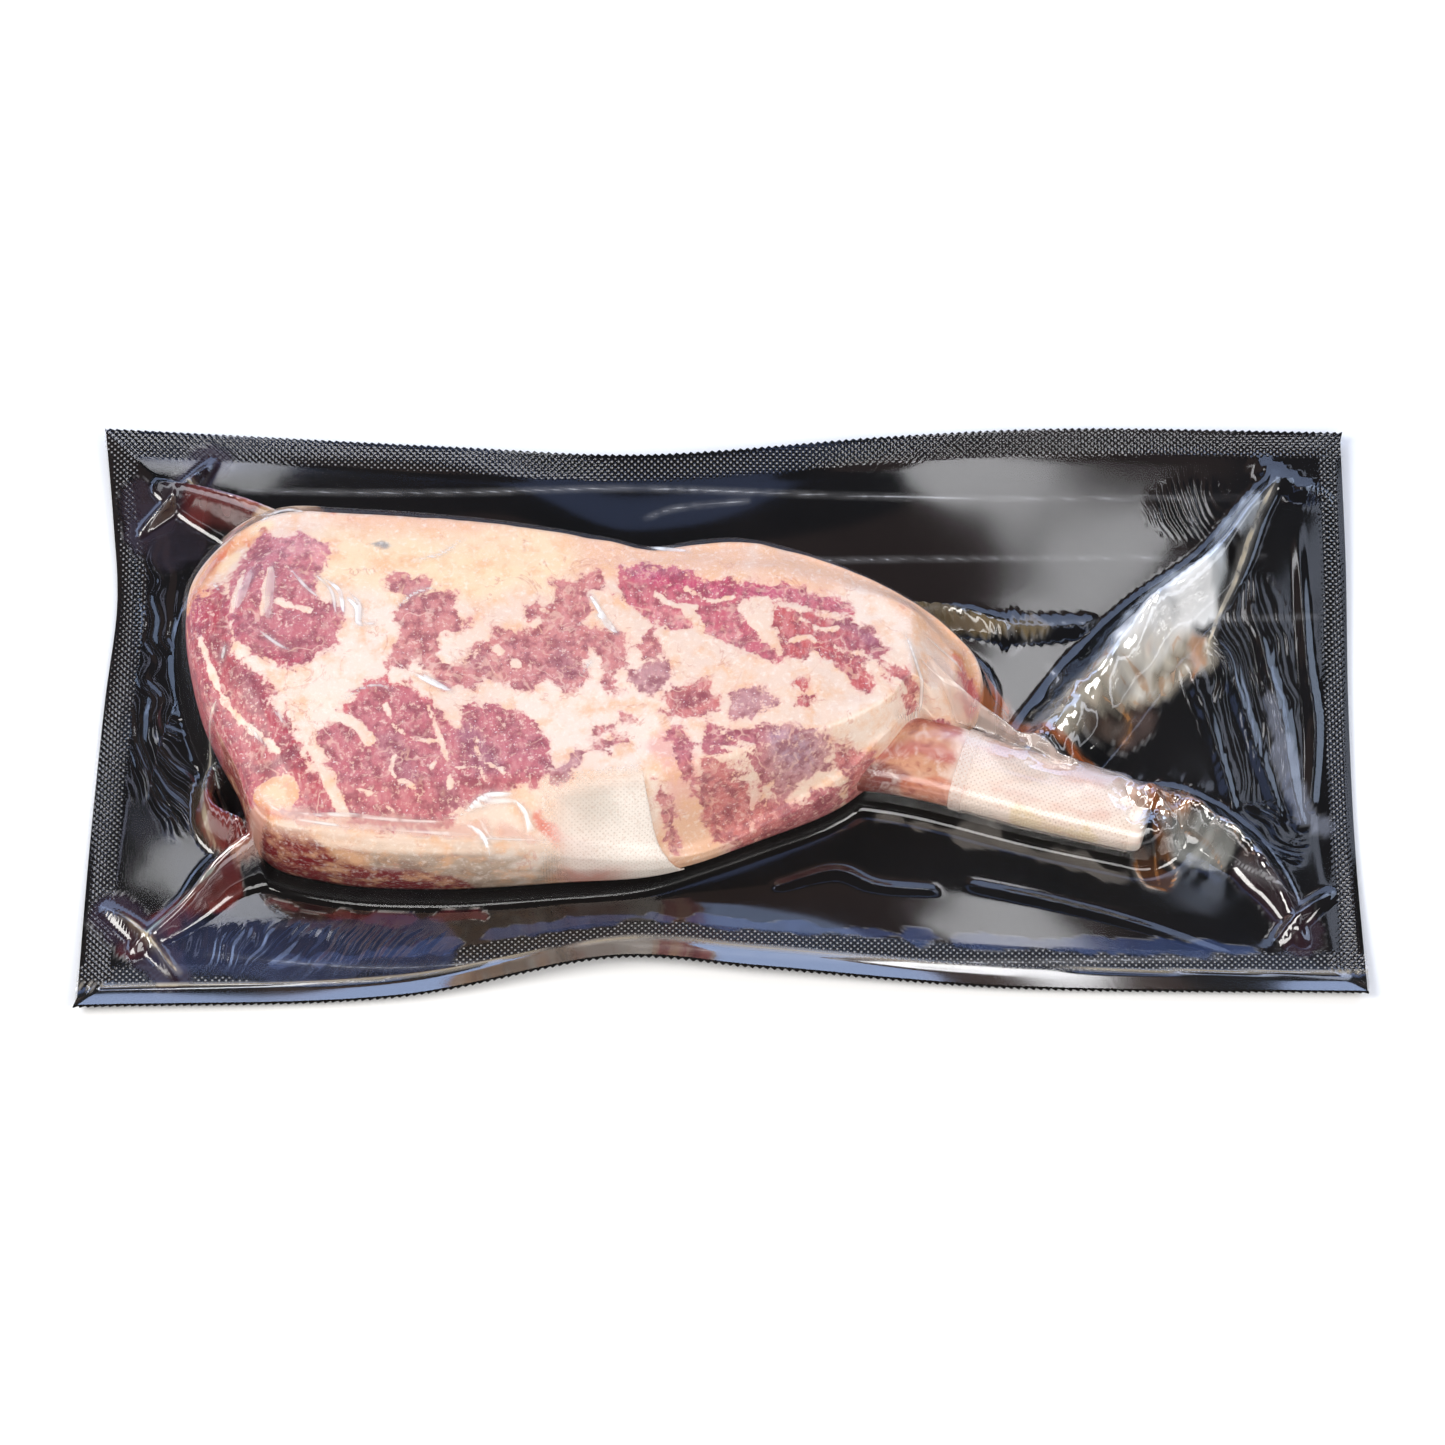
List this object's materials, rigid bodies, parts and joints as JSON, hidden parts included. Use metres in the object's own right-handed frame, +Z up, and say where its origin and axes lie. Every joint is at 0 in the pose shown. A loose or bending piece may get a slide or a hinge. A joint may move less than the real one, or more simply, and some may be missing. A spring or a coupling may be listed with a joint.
{
  "type": "vacuum-packed tomahawk steak",
  "caption": "Raw tomahawk steak with its long rib bone and bone guards, vacuum-sealed between a black back film and a clear front film, lying flat.",
  "frame": {"origin": "on the surface that the pack lies on, under the middle of the pack", "axes": "+X along the pack towards the tip of the bone, +Y towards the pack's far edge at the fat cap's side, +Z up through the front film"},
  "size_m": [0.4891, 0.258, 0.049],
  "materials": {
    "back_film": "glossy black film with fine ripples",
    "clear_film": "clear glossy film drawn tight, with folds",
    "raw_meat": "moist raw beef with pale marbling and a fat cap",
    "bone": "scraped rib bone, pinkish cream, slightly moist",
    "guard_cloth": "thin waxed cloth with rows of small holes"
  },
  "bodies": {
    "root": {"back_film": "back_film", "clear_film": "clear_film", "meat": "raw_meat", "rib_bone": "bone", "bone_guard_heel": "guard_cloth", "bone_guard_tip": "guard_cloth"}
  },
  "joints": []
}
